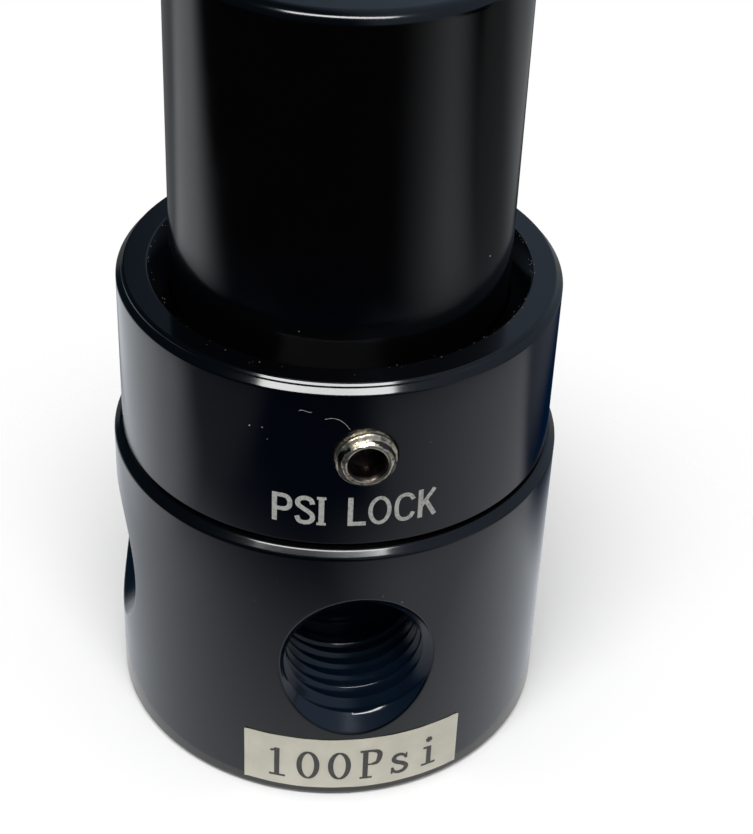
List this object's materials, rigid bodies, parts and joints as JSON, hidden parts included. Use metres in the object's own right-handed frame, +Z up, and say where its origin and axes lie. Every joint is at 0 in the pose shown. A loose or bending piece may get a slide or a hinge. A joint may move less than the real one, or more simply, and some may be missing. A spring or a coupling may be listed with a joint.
{
  "type": "adjustable pressure regulator",
  "caption": "Small inline gas pressure regulator: black cylindrical base with threaded inlet and outlet ports, a ring with a lock screw and a long smooth adjusting knob.",
  "frame": {"origin": "centre of the base's foot, where the regulator stands", "axes": "+Z up along the common axis of base, ring and knob; the outlet port faces -Y and the inlet port faces -X"},
  "size_m": [0.0382, 0.0382, 0.0709],
  "materials": {
    "black_anodised": "black anodised, satin",
    "plain_aluminium": "turned, bare",
    "brass": "turned",
    "sintered_bronze": "sintered, porous",
    "screw_steel": "bright, worn",
    "spring_steel": "drawn wire",
    "stainless_steel": "turned",
    "seal_rubber": "moulded",
    "nylon": "natural",
    "label_tape": "satin tape"
  },
  "bodies": {
    "base": {"base_body": "black_anodised", "bonnet_ring": "black_anodised", "bottom_plug": "brass", "plug_washer": "nylon", "valve_seat": "brass", "seat_o_ring": "seal_rubber", "bonnet_gasket": "nylon", "inlet_filter": "sintered_bronze", "filter_clip": "spring_steel", "pressure_label": "label_tape", "poppet_spring": "spring_steel"},
    "piston": {"piston": "plain_aluminium", "piston_o_ring": "seal_rubber", "spring_washer": "stainless_steel", "main_spring": "spring_steel"},
    "poppet": {"poppet": "stainless_steel", "poppet_seal": "nylon"},
    "button": {"spring_button": "stainless_steel"},
    "knob": {"adjusting_knob": "black_anodised", "thrust_washer": "nylon"},
    "lock_pad": {"lock_pad": "nylon"},
    "lock_screw": {"lock_set_screw": "screw_steel"}
  },
  "joints": [
    {"name": "knob_advance", "type": "slide", "parent": "base", "child": "button", "axis": [0, 0, -1], "range_m": [0, 0.00381], "deforming": ["main_spring"]},
    {"name": "knob_turn", "type": "hinge", "parent": "button", "child": "knob", "pos_m": [0, 0, 0], "axis": [0, 0, -1], "range_deg": [0, 1080]},
    {"name": "lock_advance", "type": "slide", "parent": "base", "child": "lock_pad", "axis": [0, -1, 0], "range_m": [0, 0.0016]},
    {"name": "lock_turn", "type": "hinge", "parent": "lock_pad", "child": "lock_screw", "pos_m": [0, 0, 0.0366], "axis": [0, -1, 0], "range_deg": [0, 720.5]},
    {"name": "piston_lift", "type": "slide", "parent": "base", "child": "piston", "axis": [0, 0, 1], "range_m": [0, 0.0008], "stiffness_N_per_m": 200},
    {"name": "poppet_lift", "type": "slide", "parent": "base", "child": "poppet", "axis": [0, 0, 1], "range_m": [0, 0.0008], "deforming": ["poppet_spring"]}
  ],
  "couplings": [
    {"joint": "knob_advance", "follows": "knob_turn", "m_per_rad": 0.00020213},
    {"joint": "lock_turn", "follows": "lock_advance", "rad_per_m": 7854},
    {"joint": "poppet_lift", "follows": "piston_lift", "ratio": 1}
  ]
}
